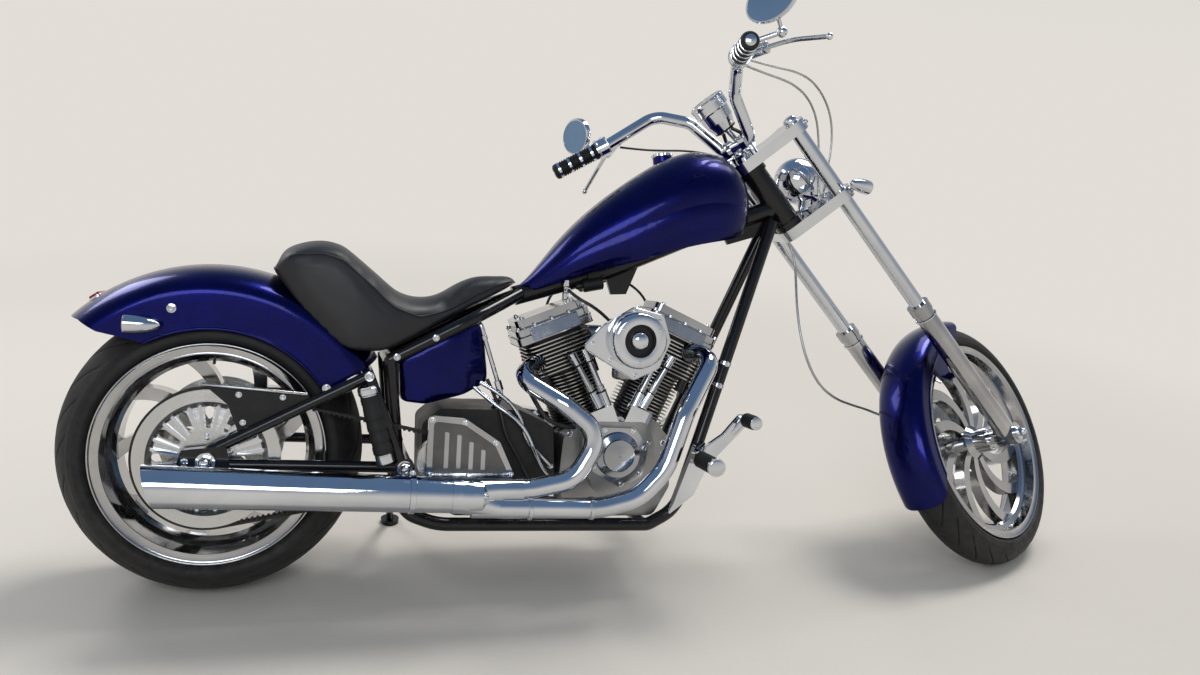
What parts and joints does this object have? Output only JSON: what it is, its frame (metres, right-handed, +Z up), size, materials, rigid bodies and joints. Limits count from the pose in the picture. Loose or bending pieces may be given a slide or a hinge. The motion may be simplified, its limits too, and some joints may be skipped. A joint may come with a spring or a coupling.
{
  "type": "chopper motorcycle",
  "caption": "Long-fork chopper motorcycle with an open V-twin engine, solo seat, wide rear tyre and side exhaust, parked on its side stand.",
  "frame": {"origin": "middle of the machine's box at the ground, as it leans on its side stand", "axes": "+X forward, +Y to the rider's left, +Z up"},
  "size_m": [2.7218, 0.7917, 1.4949],
  "materials": {
    "black_frame": "gloss black powder coat",
    "dark_steel": "satin black",
    "bright_steel": "fine turned steel",
    "belt_rubber": "matt toothed belt",
    "blue_paint": "deep blue with fine metallic flake under clear coat",
    "black_leather": "smooth black vinyl or leather",
    "cast_aluminium": "bead-blasted casting",
    "black_fins": "black barrel fins with bright edges",
    "chrome": "mirror chrome",
    "polished_aluminium": "polished billet",
    "black_rubber": "matt black",
    "tyre_rubber": "matt tread rubber"
  },
  "bodies": {
    "chassis": {"frame_spine": "black_frame", "frame_rails": "black_frame", "swingarm": "black_frame", "rear_axle": "bright_steel", "belt_guard": "dark_steel", "drive_belt": "belt_rubber", "gearbox_pulley": "dark_steel", "rear_fender": "blue_paint", "fuel_tank": "blue_paint", "oil_tank": "blue_paint", "seat": "black_leather", "crankcase": "cast_aluminium", "cylinders": "black_fins", "rocker_boxes": "chrome", "pushrod_tubes": "chrome", "cam_cover": "chrome", "intake": "cast_aluminium", "air_cleaner": "chrome", "gearbox": "cast_aluminium", "gear_cover": "chrome", "primary_cover": "chrome", "muffler": "chrome", "exhaust_pipes": "chrome", "foot_controls": "chrome", "rear_caliper": "bright_steel", "rear_lamps": "chrome"},
    "steering": {"fork_trees": "chrome", "fork_tubes": "chrome", "fork_sliders": "chrome", "front_axle": "bright_steel", "handlebar": "chrome", "grips": "black_rubber", "hand_controls": "chrome", "mirrors": "chrome", "front_lamps": "chrome", "speedometer": "chrome", "front_fender": "blue_paint", "front_caliper": "bright_steel", "brake_hose": "black_rubber", "control_cables": "black_rubber"},
    "rear_wheel": {"rear_wheel": "polished_aluminium", "rear_tyre": "tyre_rubber", "rear_pulley": "polished_aluminium", "rear_disc": "bright_steel"},
    "front_wheel": {"front_wheel": "polished_aluminium", "front_tyre": "tyre_rubber", "front_disc": "bright_steel"},
    "side_stand": {"side_stand": "black_frame"}
  },
  "joints": [
    {"name": "steering", "type": "hinge", "parent": "chassis", "child": "steering", "pos_m": [0.38471, 0.03263, 0.8979], "axis": [-0.6651, 0.173, 0.7264], "range_deg": [-66, 0]},
    {"name": "rear_wheel_spin", "type": "hinge", "parent": "chassis", "child": "rear_wheel", "pos_m": [-1.03297, -0.10818, 0.32336], "axis": [-0.002, 0.9724, -0.2334], "continuous": true},
    {"name": "front_wheel_spin", "type": "hinge", "parent": "steering", "child": "front_wheel", "pos_m": [1.03625, -0.04959, 0.30261], "axis": [-0.4084, 0.7302, -0.5478], "continuous": true},
    {"name": "side_stand", "type": "hinge", "parent": "chassis", "child": "side_stand", "pos_m": [-0.62257, 0.00297, 0.13174], "axis": [-0.1129, 0.5569, 0.8228], "range_deg": [0, 95]}
  ]
}
